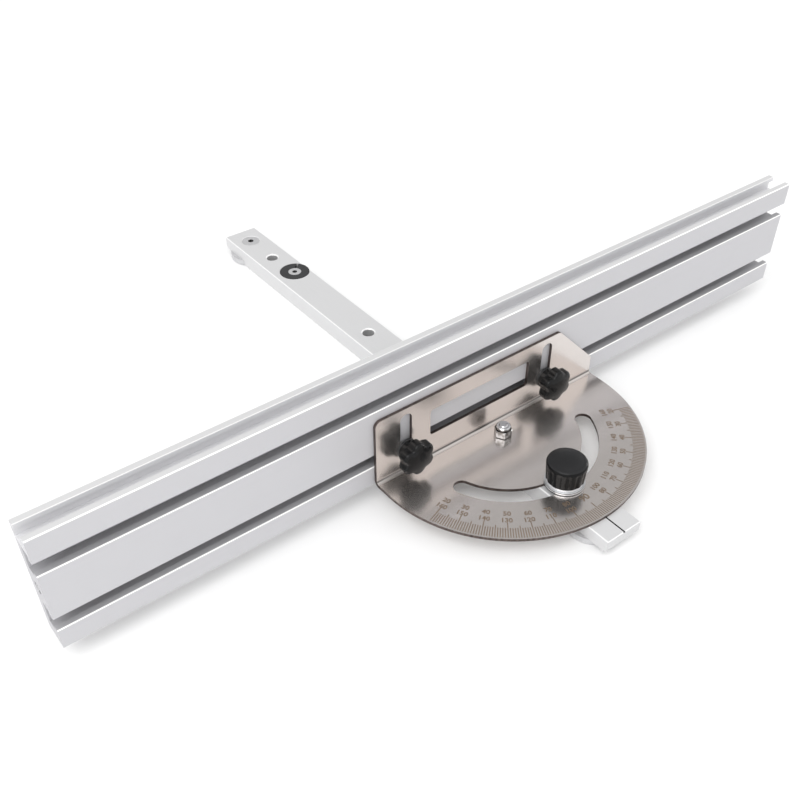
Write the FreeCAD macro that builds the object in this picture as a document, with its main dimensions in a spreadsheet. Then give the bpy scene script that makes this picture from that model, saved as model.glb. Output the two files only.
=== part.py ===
import FreeCAD, Part
import math
import os
import Sketcher
from FreeCAD import Placement, Rotation, Vector

# Miter gauge for a saw table.
# A flat bar runs in the table's slot. A folded protractor plate swings on the bar about one screw
# and is locked by a knob in its arc slot. A long slotted fence hangs on the plate's upright flange
# by two bolts, whose heads run in the fence's lower front slot.
# Millimetres. +X runs along the fence, +Y along the bar away from the user, +Z is up.
# The origin is on the swing axis, at the underside of the bar.

SIZES = {
    # the bar
    "bar_length": 300.0,
    "bar_width": 19.0,
    "bar_height": 9.5,
    "bar_edge_bevel": 0.35,
    "bar_nose_bevel": 1.4,
    "near_end_past_plate": 10.0,
    "front_disc_inset": 16.6,
    "rear_disc_inset": 12.0,
    "index_groove_width": 0.7,
    "index_groove_depth": 0.4,
    "index_groove_length": 10.4,
    "spare_hole_inset": 35.0,
    "middle_hole_from_pivot": 101.0,
    "rear_split_inset": 55.0,
    "front_split_from_pivot": 53.0,
    "spare_hole_bevel": 0.6,
    # the round discs under both ends of the bar
    "track_disc_diameter": 23.8,
    "track_disc_height": 3.2,
    "track_disc_bevel": 0.4,
    "track_disc_gap": 0.3,
    # the split discs that take up side play
    "split_disc_diameter": 16.0,
    "split_disc_height": 4.6,
    "split_disc_offset": 2.0,
    "split_disc_gap": 0.2,
    "split_width": 1.3,
    "split_angle": 47.0,
    # screws
    "disc_thread": 5.0,
    "disc_head": 10.0,
    "disc_socket": 3.0,
    "cone_thread": 4.0,
    "cone_head": 7.0,
    "cone_socket": 2.5,
    "pivot_thread": 4.0,
    "pivot_head": 7.5,
    "pivot_socket": 2.5,
    "pivot_screw_rise": 0.4,
    "lock_thread": 6.0,
    "lock_head": 9.5,
    "lock_socket": 4.0,
    "lock_end_gap": 1.2,
    "socket_depth": 2.0,
    "head_sink": 0.1,
    "screw_end_bevel": 0.4,
    "screw_end_recess": 0.4,
    "screw_gap": 0.1,
    "thread_gap": 0.02,
    # the lock nut on the swing axis
    "pivot_nut_width": 7.0,
    "pivot_nut_hex_height": 3.9,
    "pivot_nut_collar_height": 1.5,
    "pivot_nut_collar": 6.5,
    "pivot_nut_bevel": 0.45,
    # the protractor plate
    "plate_thickness": 1.5,
    "plate_radius": 63.0,
    "fold_radius": 1.5,
    "pivot_to_flange": 8.7,
    "pivot_hole_gap": 0.05,
    "flange_top": 44.0,
    "flange_corner_radius": 3.0,
    "cut_corner_width": 23.5,
    "cut_corner_height": 24.0,
    "rim_to_arc_slot": 24.4,
    "arc_slot_width": 7.6,
    "arc_slot_half_angle": 68.0,
    "flange_slot_width": 6.0,
    "fence_lift": 15.4,
    "window_left": 34.6,
    "window_right": 21.3,
    "window_bottom": 23.0,
    "window_top": 36.4,
    "window_radius": 1.5,
    # the fence
    "fence_length": 400.0,
    "fence_height": 55.5,
    "fence_thickness": 13.0,
    "fence_over_bar": 0.3,
    "fence_edge_radius": 0.5,
    "lower_band": 9.9,
    "upper_band": 11.0,
    "slot_mouth": 6.0,
    "slot_lip": 3.0,
    "slot_undercut": 2.3,
    "slot_depth": 5.2,
    "top_mouth": 6.6,
    "top_lip": 2.0,
    "top_undercut": 1.8,
    "top_depth": 4.6,
    "lip_bevel": 0.3,
    "core_hole": 5.2,
    # the two fence clamps
    "left_bolt_distance": 47.5,
    "right_bolt_distance": 32.0,
    "clamp_thread": 5.0,
    "bolt_head_length": 11.0,
    "bolt_head_width": 9.6,
    "bolt_head_thickness": 3.6,
    "bolt_end_gap": 0.6,
    "clamp_washer_diameter": 9.6,
    "clamp_washer_thickness": 1.0,
    "clamp_neck_diameter": 9.4,
    "clamp_neck_length": 3.4,
    "clamp_knob_diameter": 17.0,
    "clamp_knob_thickness": 6.2,
    "clamp_knob_crown": 1.2,
    "clamp_knob_edge": 2.0,
    "clamp_flutes": 6,
    "clamp_flute_radius": 2.6,
    "clamp_flute_depth": 1.5,
    "clamp_insert_diameter": 7.0,
    "clamp_insert_length": 6.6,
    # the lock knob
    "lock_washer_diameter": 17.4,
    "lock_washer_thickness": 1.3,
    "washer_gap": 0.3,
    "seat_gap": 0.04,
    "insert_flange_diameter": 15.6,
    "insert_flange_thickness": 1.2,
    "insert_barrel_diameter": 9.0,
    "insert_barrel_length": 6.2,
    "insert_gap": 0.03,
    "lock_knob_grip": 17.0,
    "lock_knob_rim": 17.6,
    "lock_knob_side": 8.0,
    "lock_knob_rim_height": 1.8,
    "lock_knob_crown": 1.4,
    "lock_knob_flat": 8.0,
    "lock_knob_edge": 1.2,
    "lock_flutes": 14,
    "lock_flute_depth": 0.8,
}

# How far a cut reaches past the face that it opens at.
PAST = 1.0


class Size:
    """A length, angle or ratio as a number, with the spreadsheet formula that gives it."""

    def __init__(self, value, formula):
        self.value = value
        self.formula = formula

    @staticmethod
    def of(thing):
        return thing if isinstance(thing, Size) else Size(float(thing), repr(thing))

    def joined(self, sign, other, value):
        return Size(value, "(%s %s %s)" % (self.formula, sign, other.formula))

    def __add__(self, other):
        other = Size.of(other)
        return self.joined("+", other, self.value + other.value)

    def __sub__(self, other):
        other = Size.of(other)
        return self.joined("-", other, self.value - other.value)

    def __mul__(self, other):
        other = Size.of(other)
        return self.joined("*", other, self.value * other.value)

    def __truediv__(self, other):
        other = Size.of(other)
        return self.joined("/", other, self.value / other.value)

    def __neg__(self):
        return Size(-self.value, "(-%s)" % self.formula)


def sine(angle):
    return Size(math.sin(math.radians(angle.value)), "sin(%s * 1 deg)" % angle.formula)


def cosine(angle):
    return Size(math.cos(math.radians(angle.value)), "cos(%s * 1 deg)" % angle.formula)


class SizeSheet:
    """The driving sizes, kept in a spreadsheet and read as attributes by their aliases."""

    def __init__(self, document, rows):
        self.rows = rows
        sheet = document.addObject("Spreadsheet::Sheet", "sizes")
        for row, (alias, value) in enumerate(rows.items(), start=1):
            sheet.set("A%d" % row, alias)
            sheet.set("B%d" % row, str(value))
            sheet.setAlias("B%d" % row, alias)
        document.recompute()

    def __getattr__(self, alias):
        return Size(float(self.rows[alias]), "sizes." + alias)


doc = FreeCAD.newDocument("miter_gauge")
size = SizeSheet(doc, SIZES)
ZERO = Size(0.0, "0")

# Places that several pieces share.
NEAR_END = -size.plate_radius - size.near_end_past_plate
FAR_END = NEAR_END + size.bar_length
ARC_RADIUS = size.plate_radius - size.rim_to_arc_slot
PLATE_TOP = size.bar_height + size.plate_thickness
FLANGE_BACK = size.pivot_to_flange + size.plate_thickness
FENCE_FRONT = FLANGE_BACK + size.seat_gap
FENCE_BACK = FENCE_FRONT + size.fence_thickness
FENCE_BOTTOM = size.bar_height + size.fence_over_bar
FENCE_TOP = FENCE_BOTTOM + size.fence_height
LOWER_MOUTH = FENCE_BOTTOM + size.lower_band
UPPER_MOUTH = FENCE_TOP - size.upper_band - size.slot_mouth
MIDDLE_BAND = (LOWER_MOUTH + size.slot_mouth + UPPER_MOUTH) / 2
BOLT_HEIGHT = LOWER_MOUTH + size.slot_mouth / 2
LOCK_WASHER_SEAT = PLATE_TOP + size.seat_gap
KNOB_SEAT = LOCK_WASHER_SEAT + size.lock_washer_thickness
NUT_TOP = PLATE_TOP + size.pivot_nut_hex_height + size.pivot_nut_collar_height
INSERT_TOP = KNOB_SEAT + size.insert_flange_thickness + size.insert_barrel_length
CLAMP_WASHER_SEAT = size.pivot_to_flange - size.seat_gap
CLAMP_SEAT = CLAMP_WASHER_SEAT - size.clamp_washer_thickness
BOLTS = {"left": -size.left_bolt_distance, "right": size.right_bolt_distance}
TRACK_DISCS = {"front": NEAR_END + size.front_disc_inset, "rear": FAR_END - size.rear_disc_inset}
SPLIT_DISCS = {"front": size.front_split_from_pivot, "rear": FAR_END - size.rear_split_inset}

# A body turned this way has its own +Z pointing at the user, along -Y.
FACING_USER = Rotation(Vector(1, 0, 0), 90)
UPSIDE_DOWN = Rotation(Vector(1, 0, 0), 180)
UPRIGHT = Rotation()


def new_body(name, turned=UPRIGHT, x=ZERO, y=ZERO, z=ZERO):
    """An empty body with its place bound to the sheet."""
    body = doc.addObject("PartDesign::Body", name)
    body.Label = name
    body.Placement = Placement(Vector(x.value, y.value, z.value), turned)
    for axis, place in (("x", x), ("y", y), ("z", z)):
        body.setExpression("Placement.Base." + axis, place.formula)
    return body


def origin_feature(body, role):
    return next(item for item in body.Origin.OriginFeatures if item.Role == role)


def new_sketch(body, name, plane="XY_Plane", right=ZERO, up=ZERO, out=ZERO):
    """A sketch on one of the body's own planes, shifted within it and off it."""
    sketch = body.newObject("Sketcher::SketchObject", body.Name + "_" + name)
    sketch.AttachmentSupport = [(origin_feature(body, plane), "")]
    sketch.MapMode = "FlatFace"
    for axis, shift in (("x", right), ("y", up), ("z", out)):
        sketch.setExpression("AttachmentOffset.Base." + axis, shift.formula)
    return sketch


def hold(sketch, kind, geometry, point, distance):
    """Tie one coordinate of a point in the sketch to the sheet."""
    number = sketch.addConstraint(Sketcher.Constraint(kind, -1, 1, geometry, point, distance.value))
    sketch.setExpression("Constraints[%d]" % number, distance.formula)


def outline(sketch, corners):
    """Straight sides through the corners, each held to the sheet."""
    first = sketch.GeometryCount
    count = len(corners)
    corners = [(Size.of(x), Size.of(y)) for x, y in corners]
    points = [Vector(x.value, y.value, 0) for x, y in corners]
    for side in range(count):
        start, end = points[side], points[(side + 1) % count]
        sketch.addGeometry(Part.LineSegment(start, end))
    for side in range(count):
        following = first + (side + 1) % count
        sketch.addConstraint(Sketcher.Constraint("Coincident", first + side, 2, following, 1))
    for side, (x, y) in enumerate(corners):
        hold(sketch, "DistanceX", first + side, 1, x)
        hold(sketch, "DistanceY", first + side, 1, y)


def circle(sketch, x, y, diameter):
    number = sketch.addGeometry(Part.Circle(Vector(x.value, y.value, 0), Vector(0, 0, 1), diameter.value / 2))
    hold(sketch, "DistanceX", number, 3, x)
    hold(sketch, "DistanceY", number, 3, y)
    width = sketch.addConstraint(Sketcher.Constraint("Diameter", number, diameter.value))
    sketch.setExpression("Constraints[%d]" % width, diameter.formula)


def box_corners(left, bottom, right, top):
    return [(left, bottom), (right, bottom), (right, top), (left, top)]


def hexagon(across_flats):
    """Corners of a hexagon about the sketch's origin."""
    reach = across_flats / (2 * math.cos(math.radians(30)))
    return [(reach * cosine(Size.of(60.0 * turn)), reach * sine(Size.of(60.0 * turn))) for turn in range(6)]


def fluted_ring(outer, inner, count):
    """Corners of a ring with V-shaped flutes, by turns at the outer and the inner radius."""
    step = 180.0 / count
    places = [(inner if turn % 2 else outer, Size.of(step * turn)) for turn in range(2 * count)]
    return [(radius * cosine(angle), radius * sine(angle)) for radius, angle in places]


def pad(body, sketch, height, side="One side", reverse=False):
    feature = body.newObject("PartDesign::Pad", sketch.Name + "_pad")
    feature.Profile = sketch
    feature.SideType = side
    feature.Reversed = reverse
    feature.setExpression("Length", height.formula)
    doc.recompute()
    return feature


def turned_pad(body, sketch):
    """Turn the sketch once round the body's own Z axis."""
    feature = body.newObject("PartDesign::Revolution", sketch.Name + "_turned")
    feature.Profile = sketch
    feature.ReferenceAxis = (origin_feature(body, "Z_Axis"), [""])
    feature.Angle = 360
    doc.recompute()
    return feature


def checked_cut(feature, before):
    """A cut that points away from the solid removes nothing and shows no error."""
    doc.recompute()
    if feature.Shape.Volume > before - 1e-4:
        raise RuntimeError(feature.Name + " cuts nothing")
    return feature


def pocket(body, sketch, depth=None, side="One side", reverse=False):
    """Cut the sketch to a depth, or right through when no depth is given."""
    before = body.Shape.Volume
    feature = body.newObject("PartDesign::Pocket", sketch.Name + "_pocket")
    feature.Profile = sketch
    feature.Reversed = reverse
    if depth is None:
        feature.Type = "ThroughAll"
        feature.SideType = "Symmetric"
    else:
        feature.SideType = side
        feature.setExpression("Length", depth.formula)
    return checked_cut(feature, before)


def groove(body, sketch, angle=360.0, axis=None):
    """Cut by turning the sketch about its own upright axis, or about another axis."""
    before = body.Shape.Volume
    feature = body.newObject("PartDesign::Groove", sketch.Name + "_groove")
    feature.Profile = sketch
    feature.ReferenceAxis = axis or (sketch, ["V_Axis"])
    angle = Size.of(angle)
    feature.Angle = angle.value
    feature.Midplane = angle.value < 360
    feature.setExpression("Angle", angle.formula)
    return checked_cut(feature, before)


def repeat_round(body, feature, count):
    """Copies of a cut, evenly spaced about the body's own Z axis."""
    before = body.Shape.Volume
    pattern = body.newObject("PartDesign::PolarPattern", feature.Name + "_round")
    pattern.Originals = [feature]
    pattern.Axis = (origin_feature(body, "Z_Axis"), [""])
    pattern.Angle = 360
    pattern.Occurrences = int(count.value)
    body.Tip = pattern
    return checked_cut(pattern, before)


def edges_of(body, wanted):
    """Names of the body's edges whose middle point and direction pass the test."""
    names = []
    for number, edge in enumerate(body.Shape.Edges, start=1):
        shape = edge.copy()
        shape.transformShape(body.Placement.inverse().toMatrix())
        if wanted(shape.CenterOfMass, shape):
            names.append("Edge%d" % number)
    return names


def finish_edges(body, kind, amount, wanted):
    """Round or bevel the edges that pass the test."""
    doc.recompute()
    names = edges_of(body, wanted)
    tip = body.Tip
    feature = body.newObject("PartDesign::" + kind, "%s_%s_%d" % (body.Name, kind, len(body.Group)))
    feature.Base = (tip, names)
    feature.setExpression("Radius" if kind == "Fillet" else "Size", amount.formula)
    doc.recompute()
    return feature


def runs_along(edge, axis):
    """Whether a straight edge points along an axis."""
    return edge.Curve.TypeId == "Part::GeomLine" and abs(abs(edge.Curve.Direction.dot(axis)) - 1) < 1e-6


def near(a, b):
    return abs(a - b) < 1e-3


def is_round_at(height):
    """A test for the edges that run level round a body at a height."""
    return lambda middle, edge: near(edge.BoundBox.ZMin, height.value) and near(edge.BoundBox.ZMax, height.value)


ALONG_X, ALONG_Y, ALONG_Z = Vector(1, 0, 0), Vector(0, 1, 0), Vector(0, 0, 1)


def stepped_hole(body, name, x, y, steps):
    """A hole of changing radius on an upright axis. The steps are radius and height pairs, upwards."""
    sketch = new_sketch(body, name, "XZ_Plane", right=x, out=-y)
    outline(sketch, [(ZERO, steps[0][1])] + steps + [(ZERO, steps[-1][1])])
    return groove(body, sketch)


def sunk_from_top(head, thread, bottom, top):
    """Steps of a countersunk hole that opens upwards."""
    mouth = head / 2 + size.head_sink + size.screw_gap
    shank = thread / 2 + size.screw_gap
    return [(shank, bottom), (shank, top - (mouth - shank)), (mouth, top)]


def sunk_from_below(head, thread, top):
    """Steps of a countersunk hole that opens at the underside of the bar."""
    mouth = head / 2 + size.head_sink + size.screw_gap
    shank = thread / 2 + size.screw_gap
    return [(mouth, ZERO), (shank, mouth - shank), (shank, top)]


def miter_bar():
    """The flat bar: stepped and rounded under both ends for the track discs, with two pockets for
    the split discs that break through its right side. A groove at its near end is the scale's index."""
    body = new_body("miter_bar")
    half = size.bar_width / 2
    top = size.bar_height
    blank = new_sketch(body, "blank")
    outline(blank, box_corners(-half, NEAR_END, half, FAR_END))
    pad(body, blank, top)
    finish_edges(body, "Chamfer", size.bar_edge_bevel,
                 lambda middle, edge: runs_along(edge, ALONG_Y) or near(middle.z, top.value))
    step = size.track_disc_height
    for end, place in TRACK_DISCS.items():
        outer = NEAR_END - PAST if end == "front" else FAR_END + PAST
        low, high = (outer, place) if end == "front" else (place, outer)
        flat = new_sketch(body, end + "_step")
        outline(flat, box_corners(-half - PAST, low, half + PAST, high))
        pocket(body, flat, step, reverse=True)
        bay = new_sketch(body, end + "_bay")
        circle(bay, ZERO, place, size.track_disc_diameter + size.track_disc_gap * 2)
        pocket(body, bay, step, reverse=True)
        stepped_hole(body, end + "_disc_hole", ZERO, place,
                     sunk_from_top(size.disc_head, size.disc_thread, step, top))
    finish_edges(body, "Chamfer", size.bar_nose_bevel,
                 lambda middle, edge: runs_along(edge, ALONG_X) and near(middle.z, step.value)
                 and (near(middle.y, NEAR_END.value) or near(middle.y, FAR_END.value)))
    index = new_sketch(body, "index_groove", out=top)
    side = size.index_groove_width / 2
    outline(index, box_corners(-side, NEAR_END - PAST, side, NEAR_END + size.index_groove_length))
    pocket(body, index, size.index_groove_depth)
    for end, place in SPLIT_DISCS.items():
        floor = top - size.split_disc_height - size.split_disc_gap
        wall = size.split_disc_diameter / 2 + size.split_disc_gap
        tapped = size.cone_thread / 2 + size.thread_gap
        stepped_hole(body, end + "_split_bay", size.split_disc_offset, place,
                     [(tapped, ZERO), (tapped, floor), (wall, floor), (wall, top)])
    stepped_hole(body, "pivot_hole", ZERO, ZERO, sunk_from_below(size.pivot_head, size.pivot_thread, top))
    stepped_hole(body, "lock_hole", ZERO, -ARC_RADIUS,
                 sunk_from_below(size.lock_head, size.lock_thread, top))
    spare = size.lock_thread / 2
    bevel = size.spare_hole_bevel
    for name, place in (("spare", FAR_END - size.spare_hole_inset), ("middle", size.middle_hole_from_pivot)):
        stepped_hole(body, name + "_hole", ZERO, place,
                     [(spare + bevel, ZERO), (spare, bevel), (spare, top - bevel), (spare + bevel, top)])
    return body


def track_disc(end):
    """A round steel disc with a threaded hole, flush with the underside of the bar."""
    body = new_body(end + "_track_disc", y=TRACK_DISCS[end])
    profile = new_sketch(body, "profile", "XZ_Plane")
    bore = size.disc_thread / 2 + size.thread_gap
    rim = size.track_disc_diameter / 2
    bevel = size.track_disc_bevel
    outline(profile, [(bore, ZERO), (rim - bevel, ZERO), (rim, bevel), (rim, size.track_disc_height),
                      (bore, size.track_disc_height)])
    turned_pad(body, profile)
    return body


def countersunk_screw(name, head, thread, length, socket, turned, x, y, z):
    """A countersunk screw with a hexagon socket. Its own origin is in the middle of its head's flat."""
    body = new_body(name, turned, x, y, z)
    profile = new_sketch(body, "profile", "XZ_Plane")
    point = size.screw_end_bevel
    outline(profile, [(ZERO, -length), (thread / 2 - point, -length), (thread / 2, point - length),
                      (thread / 2, thread / 2 - head / 2), (head / 2, ZERO), (ZERO, ZERO)])
    turned_pad(body, profile)
    drive = new_sketch(body, "socket")
    outline(drive, hexagon(socket))
    pocket(body, drive, size.socket_depth)
    return body


def disc_screw(end):
    """Holds a track disc: its head lies flush in the bar and its thread ends inside the disc."""
    head_top = size.bar_height - size.head_sink
    length = head_top - size.screw_end_recess
    return countersunk_screw(end + "_disc_screw", size.disc_head, size.disc_thread, length, size.disc_socket,
                             UPRIGHT, ZERO, TRACK_DISCS[end], head_top)


def split_disc(end):
    """A split nylon ring with a tapered seat. Its screw's head spreads it against the slot's wall."""
    turned = Rotation(Vector(0, 0, 1), size.split_angle.value)
    body = new_body(end + "_split_disc", turned, size.split_disc_offset, SPLIT_DISCS[end], size.bar_height)
    body.setExpression("Placement.Rotation.Angle", size.split_angle.formula)
    profile = new_sketch(body, "profile", "XZ_Plane")
    rim = size.split_disc_diameter / 2
    seat = size.cone_head / 2 + size.head_sink + size.thread_gap
    bore = size.cone_thread / 2 + size.screw_gap
    outline(profile, [(bore, -size.split_disc_height), (rim, -size.split_disc_height), (rim, ZERO),
                      (seat, ZERO), (bore, bore - seat)])
    turned_pad(body, profile)
    split = new_sketch(body, "split")
    half = size.split_width / 2
    outline(split, box_corners(ZERO, -half, rim + PAST, half))
    pocket(body, split)
    return body


def cone_screw(end):
    """Spreads the split disc; its thread runs in the bar below the disc."""
    head_top = size.bar_height - size.head_sink
    length = head_top - size.screw_end_recess
    return countersunk_screw(end + "_cone_screw", size.cone_head, size.cone_thread, length, size.cone_socket,
                             UPRIGHT, size.split_disc_offset, SPLIT_DISCS[end], head_top)


def pivot_screw():
    """Stands in the bar, head down, and carries the plate. Its end rises above the nut."""
    length = NUT_TOP + size.pivot_screw_rise - size.head_sink
    return countersunk_screw("pivot_screw", size.pivot_head, size.pivot_thread, length,
                             size.pivot_socket, UPSIDE_DOWN, ZERO, ZERO, size.head_sink)


def lock_screw():
    """Stands in the bar, head down, and passes through the plate's arc slot into the knob."""
    length = INSERT_TOP - size.lock_end_gap - size.head_sink
    return countersunk_screw("lock_screw", size.lock_head, size.lock_thread, length,
                             size.lock_socket, UPSIDE_DOWN, ZERO, -ARC_RADIUS, size.head_sink)


def pivot_nut():
    """A hexagon nut with a locking collar."""
    body = new_body("pivot_nut", z=PLATE_TOP)
    flats = size.pivot_nut_width
    hex_top = size.pivot_nut_hex_height
    sides = new_sketch(body, "sides")
    outline(sides, hexagon(flats))
    pad(body, sides, hex_top)
    corner = flats / (2 * math.cos(math.radians(30)))
    crown = new_sketch(body, "crown", "XZ_Plane")
    edge = flats / 2
    drop = size.pivot_nut_bevel
    outline(crown, [(corner + PAST, hex_top - drop - PAST), (corner + PAST, hex_top + PAST),
                    (edge, hex_top + PAST), (edge, hex_top), (corner, hex_top - drop)])
    groove(body, crown, axis=(origin_feature(body, "Z_Axis"), [""]))
    collar = new_sketch(body, "collar")
    circle(collar, ZERO, ZERO, size.pivot_nut_collar)
    pad(body, collar, hex_top + size.pivot_nut_collar_height)
    finish_edges(body, "Chamfer", size.pivot_nut_bevel, is_round_at(hex_top + size.pivot_nut_collar_height))
    bore = new_sketch(body, "bore")
    circle(bore, ZERO, ZERO, size.pivot_thread + size.thread_gap * 2)
    pocket(body, bore)
    return body


def ring(name, outer, inner, thickness, turned=UPRIGHT, x=ZERO, y=ZERO, z=ZERO):
    """A plain washer on its own origin."""
    body = new_body(name, turned, x, y, z)
    face = new_sketch(body, "face")
    circle(face, ZERO, ZERO, outer)
    circle(face, ZERO, ZERO, inner)
    pad(body, face, thickness)
    return body


def arc_slot(body, name):
    """A slot along an arc about the swing axis: a swept band, and a round hole at each end."""
    radius = ARC_RADIUS
    half = size.arc_slot_width / 2
    band = new_sketch(body, name + "_band", "YZ_Plane")
    outline(band, box_corners(-radius - half, size.bar_height - PAST, half - radius, PLATE_TOP + PAST))
    groove(body, band, size.arc_slot_half_angle * 2, axis=(origin_feature(body, "Z_Axis"), [""]))
    ends = new_sketch(body, name + "_ends")
    across = radius * sine(size.arc_slot_half_angle)
    down = radius * cosine(size.arc_slot_half_angle)
    circle(ends, -across, -down, size.arc_slot_width)
    circle(ends, across, -down, size.arc_slot_width)
    pocket(body, ends)


def upright_slot(body, name, x):
    """A slot in the flange in which a clamp bolt can rise. The bolt rests near its lower end."""
    half = size.flange_slot_width / 2
    top = BOLT_HEIGHT + size.fence_lift
    band = new_sketch(body, name + "_band", "XZ_Plane", out=-size.pivot_to_flange)
    outline(band, box_corners(x - half, BOLT_HEIGHT, x + half, top))
    pocket(body, band, size.plate_thickness + PAST, reverse=False)
    ends = new_sketch(body, name + "_ends", "XZ_Plane", out=-size.pivot_to_flange)
    circle(ends, x, BOLT_HEIGHT, size.flange_slot_width)
    circle(ends, x, top, size.flange_slot_width)
    pocket(body, ends, size.plate_thickness + PAST, reverse=False)


def protractor_plate():
    """One folded sheet: a half disc that lies on the bar and an upright flange for the fence."""
    body = new_body("protractor_plate")
    radius = size.plate_radius
    bottom = size.bar_height
    front = size.pivot_to_flange
    fold = new_sketch(body, "fold", "YZ_Plane")
    outline(fold, [(-radius, bottom), (FLANGE_BACK, bottom), (FLANGE_BACK, size.flange_top),
                   (front, size.flange_top), (front, PLATE_TOP), (-radius, PLATE_TOP)])
    pad(body, fold, radius * 2, side="Symmetric")
    finish_edges(body, "Fillet", size.fold_radius,
                 lambda middle, edge: runs_along(edge, ALONG_X) and near(middle.z, PLATE_TOP.value)
                 and near(middle.y, front.value))
    finish_edges(body, "Fillet", size.fold_radius + size.plate_thickness,
                 lambda middle, edge: runs_along(edge, ALONG_X) and near(middle.z, bottom.value)
                 and near(middle.y, FLANGE_BACK.value))
    waste = new_sketch(body, "waste", "YZ_Plane")
    reach = radius * 2
    outline(waste, box_corners(-reach, bottom - PAST, -radius, PLATE_TOP + PAST))
    groove(body, waste, 180.0, axis=(origin_feature(body, "Z_Axis"), [""]))
    arc_slot(body, "arc_slot")
    pivot_hole = new_sketch(body, "pivot_hole")
    circle(pivot_hole, ZERO, ZERO, size.pivot_thread + size.pivot_hole_gap * 2)
    pocket(body, pivot_hole)
    corner = new_sketch(body, "cut_corner", "XZ_Plane", out=-front)
    outline(corner, [(radius - size.cut_corner_width, size.flange_top + PAST),
                     (radius - size.cut_corner_width, size.flange_top),
                     (radius, size.flange_top - size.cut_corner_height),
                     (radius + PAST, size.flange_top - size.cut_corner_height),
                     (radius + PAST, size.flange_top + PAST)])
    pocket(body, corner, size.plate_thickness + PAST)
    finish_edges(body, "Fillet", size.flange_corner_radius,
                 lambda middle, edge: runs_along(edge, ALONG_Y)
                 and middle.z > (size.flange_top - size.cut_corner_height).value - 1e-3)
    window = new_sketch(body, "window", "XZ_Plane", out=-front)
    outline(window, box_corners(-size.window_left, size.window_bottom, size.window_right, size.window_top))
    pocket(body, window, size.plate_thickness + PAST)
    finish_edges(body, "Fillet", size.window_radius,
                 lambda middle, edge: runs_along(edge, ALONG_Y)
                 and -size.window_left.value - 1e-3 < middle.x < size.window_right.value + 1e-3)
    for side, x in BOLTS.items():
        upright_slot(body, side + "_slot", x)
    return body


def tee_slot(mouth_low, mouth_high, lip, undercut, depth, face):
    """Corners of a slot that opens at a face and widens behind its lips. The slot runs inwards from
    the face along the first coordinate."""
    inner = face + lip
    floor = inner + depth
    return [(face - PAST, mouth_low), (inner, mouth_low), (inner, mouth_low - undercut),
            (floor, mouth_low - undercut), (floor, mouth_high + undercut),
            (inner, mouth_high + undercut), (inner, mouth_high), (face - PAST, mouth_high)]


def fence_extrusion():
    """The long hollow section: a slot on top for stops, two in the front for bolts, a core hole."""
    body = new_body("fence_extrusion")
    section = new_sketch(body, "section", "YZ_Plane")
    outline(section, box_corners(FENCE_FRONT, FENCE_BOTTOM, FENCE_BACK, FENCE_TOP))
    pad(body, section, size.fence_length, side="Symmetric")
    finish_edges(body, "Fillet", size.fence_edge_radius, lambda middle, edge: runs_along(edge, ALONG_X))
    for name, low in (("lower", LOWER_MOUTH), ("upper", UPPER_MOUTH)):
        slot = new_sketch(body, name + "_slot", "YZ_Plane")
        outline(slot, tee_slot(low, low + size.slot_mouth, size.slot_lip, size.slot_undercut,
                               size.slot_depth, FENCE_FRONT))
        pocket(body, slot)
    middle_line = FENCE_FRONT + size.fence_thickness / 2
    top_slot = new_sketch(body, "top_slot", "YZ_Plane")
    left, right = middle_line - size.top_mouth / 2, middle_line + size.top_mouth / 2
    inner = FENCE_TOP - size.top_lip
    floor = inner - size.top_depth
    wide = size.top_undercut
    outline(top_slot, [(left, FENCE_TOP + PAST), (left, inner), (left - wide, inner), (left - wide, floor),
                       (right + wide, floor), (right + wide, inner), (right, inner), (right, FENCE_TOP + PAST)])
    pocket(body, top_slot)
    lips = [LOWER_MOUTH, LOWER_MOUTH + size.slot_mouth, UPPER_MOUTH, UPPER_MOUTH + size.slot_mouth]

    def is_lip(middle, edge):
        on_front = near(middle.y, FENCE_FRONT.value) and any(near(middle.z, lip.value) for lip in lips)
        on_top = near(middle.z, FENCE_TOP.value) and (near(middle.y, left.value) or near(middle.y, right.value))
        return runs_along(edge, ALONG_X) and (on_front or on_top)

    finish_edges(body, "Chamfer", size.lip_bevel, is_lip)
    core = new_sketch(body, "core", "YZ_Plane")
    circle(core, middle_line, MIDDLE_BAND, size.core_hole)
    pocket(body, core)
    return body


def clamp_bolt(side):
    """A bolt whose flat head runs in the fence's lower slot. It ends inside the knob's bush."""
    body = new_body(side + "_clamp_bolt", FACING_USER, BOLTS[side], FENCE_FRONT + size.slot_lip, BOLT_HEIGHT)
    head = new_sketch(body, "head")
    half_length, half_width = size.bolt_head_length / 2, size.bolt_head_width / 2
    outline(head, box_corners(-half_length, -half_width, half_length, half_width))
    pad(body, head, size.bolt_head_thickness, reverse=True)
    shank = new_sketch(body, "shank")
    circle(shank, ZERO, ZERO, size.clamp_thread)
    length = FENCE_FRONT + size.slot_lip - CLAMP_SEAT + size.clamp_insert_length - size.bolt_end_gap
    pad(body, shank, length)
    finish_edges(body, "Chamfer", size.screw_end_bevel, is_round_at(length))
    return body


def clamp_washer(side):
    return ring(side + "_clamp_washer", size.clamp_washer_diameter, size.clamp_thread + size.washer_gap * 2,
                size.clamp_washer_thickness, FACING_USER, BOLTS[side], CLAMP_WASHER_SEAT, BOLT_HEIGHT)


def clamp_insert(side):
    """The threaded bush that is moulded into a clamp knob."""
    return ring(side + "_knob_insert", size.clamp_insert_diameter, size.clamp_thread + size.insert_gap * 2,
                size.clamp_insert_length, FACING_USER, BOLTS[side], CLAMP_SEAT, BOLT_HEIGHT)


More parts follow.
